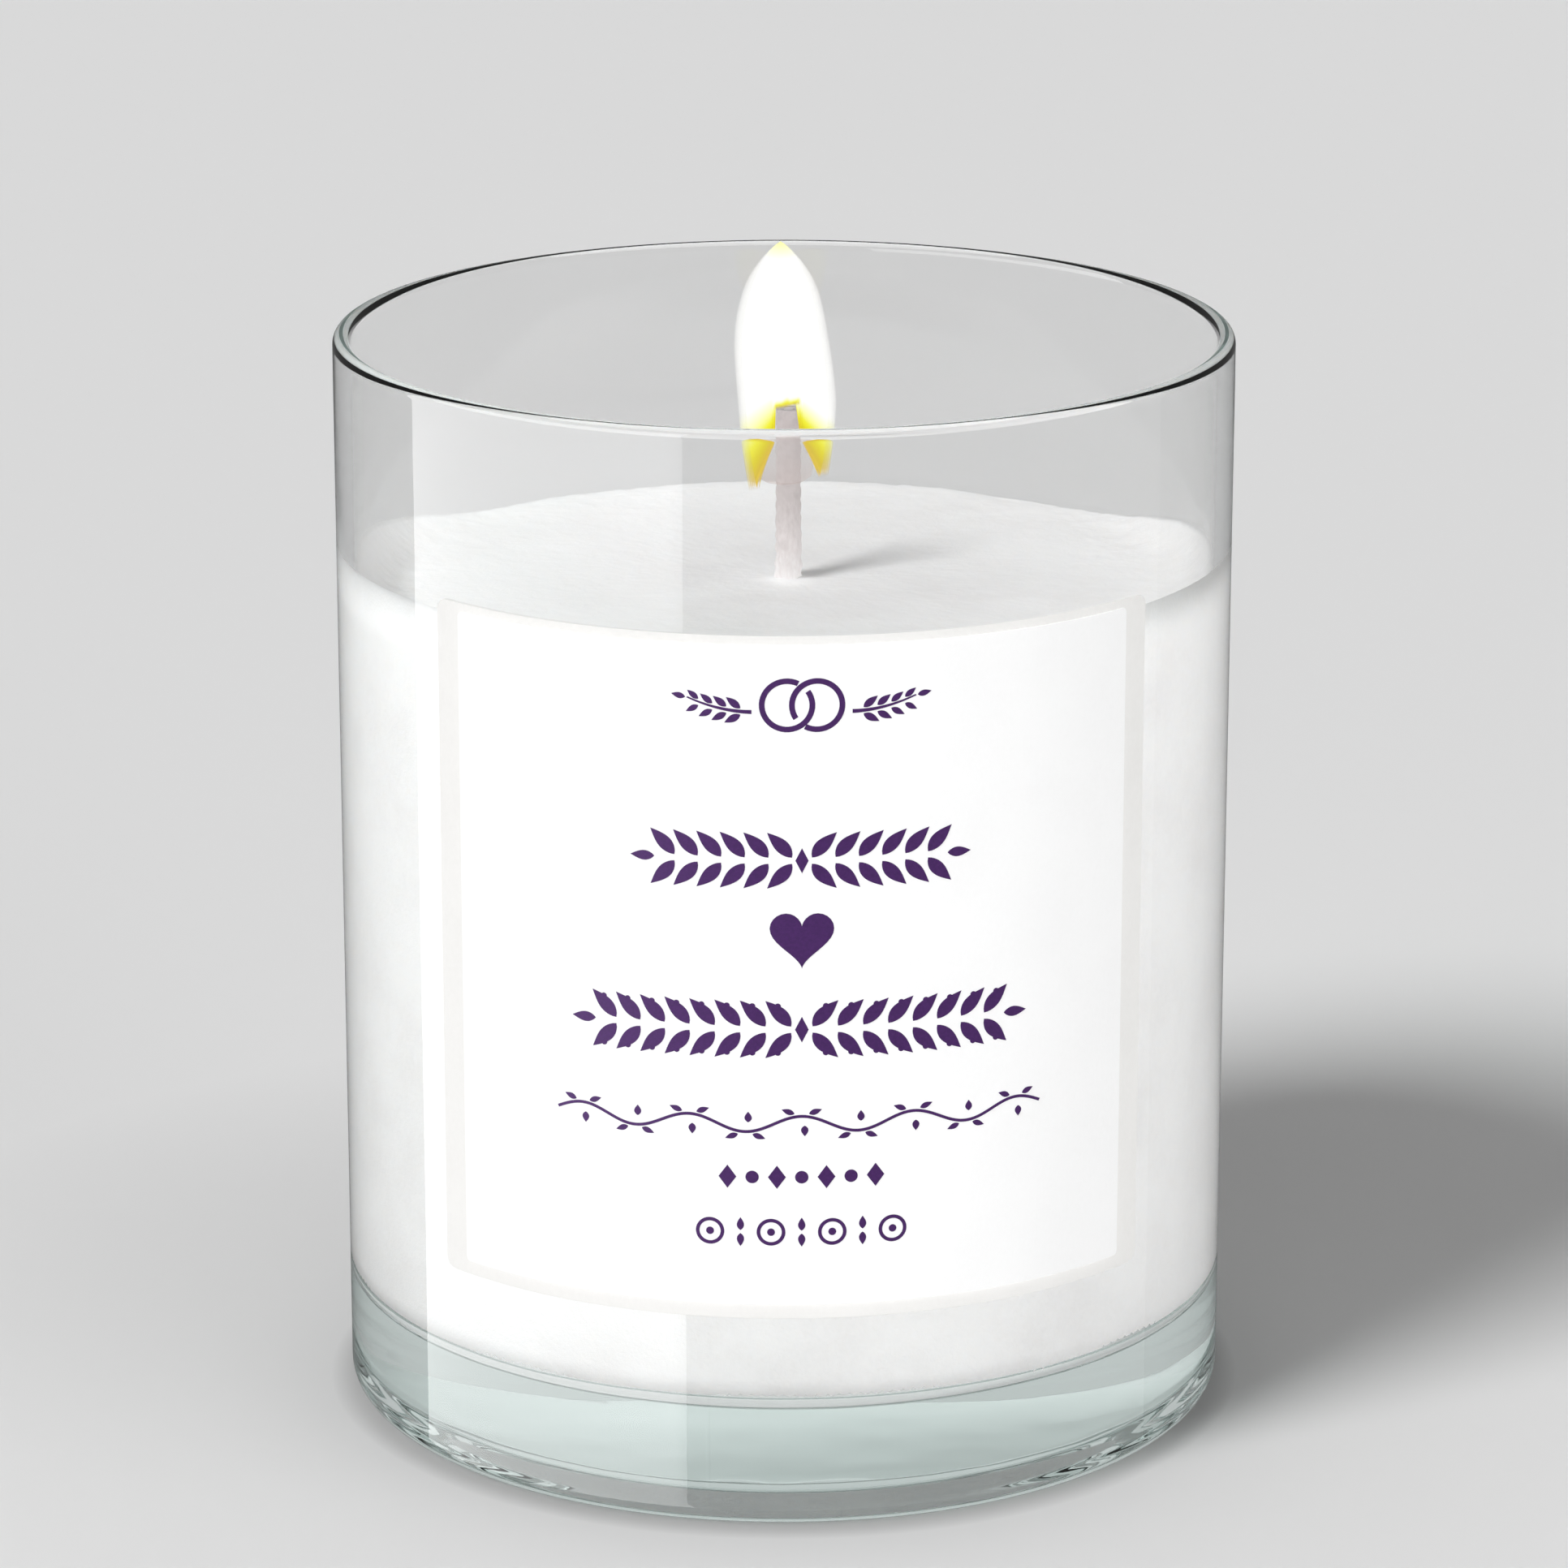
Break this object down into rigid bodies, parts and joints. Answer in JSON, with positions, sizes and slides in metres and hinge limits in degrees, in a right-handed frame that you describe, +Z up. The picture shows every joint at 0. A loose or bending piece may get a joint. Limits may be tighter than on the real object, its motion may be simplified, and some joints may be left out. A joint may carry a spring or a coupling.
{
  "type": "unity candle",
  "caption": "Lit jar candle for a wedding: white wax and a cored cotton wick in a clear straight-sided glass tumbler with a wrapped white label that carries a purple ornament.",
  "frame": {"origin": "centre of the flat ring on which the glass stands", "axes": "+Z up along the axis of the glass, -Y towards the front, where the middle of the label is, +X to the right as seen from the front"},
  "size_m": [0.08, 0.0804, 0.098],
  "materials": {
    "clear_glass": "polished",
    "wax": "matte",
    "wick_cotton": "matte",
    "wick_paper": "matte",
    "tinned_steel": "satin",
    "foam_pad": "matte",
    "label_stock": "satin",
    "label_print_stock": "satin",
    "purple_ink": "matte",
    "flame": "matte"
  },
  "bodies": {
    "root": {"glass_tumbler": "clear_glass", "wax_fill": "wax", "wick_braid": "wick_cotton", "wick_core": "wick_paper", "wick_sustainer": "tinned_steel", "sustainer_sticker": "foam_pad", "label_backing": "label_stock", "label_face": "label_print_stock"}
  },
  "joints": []
}
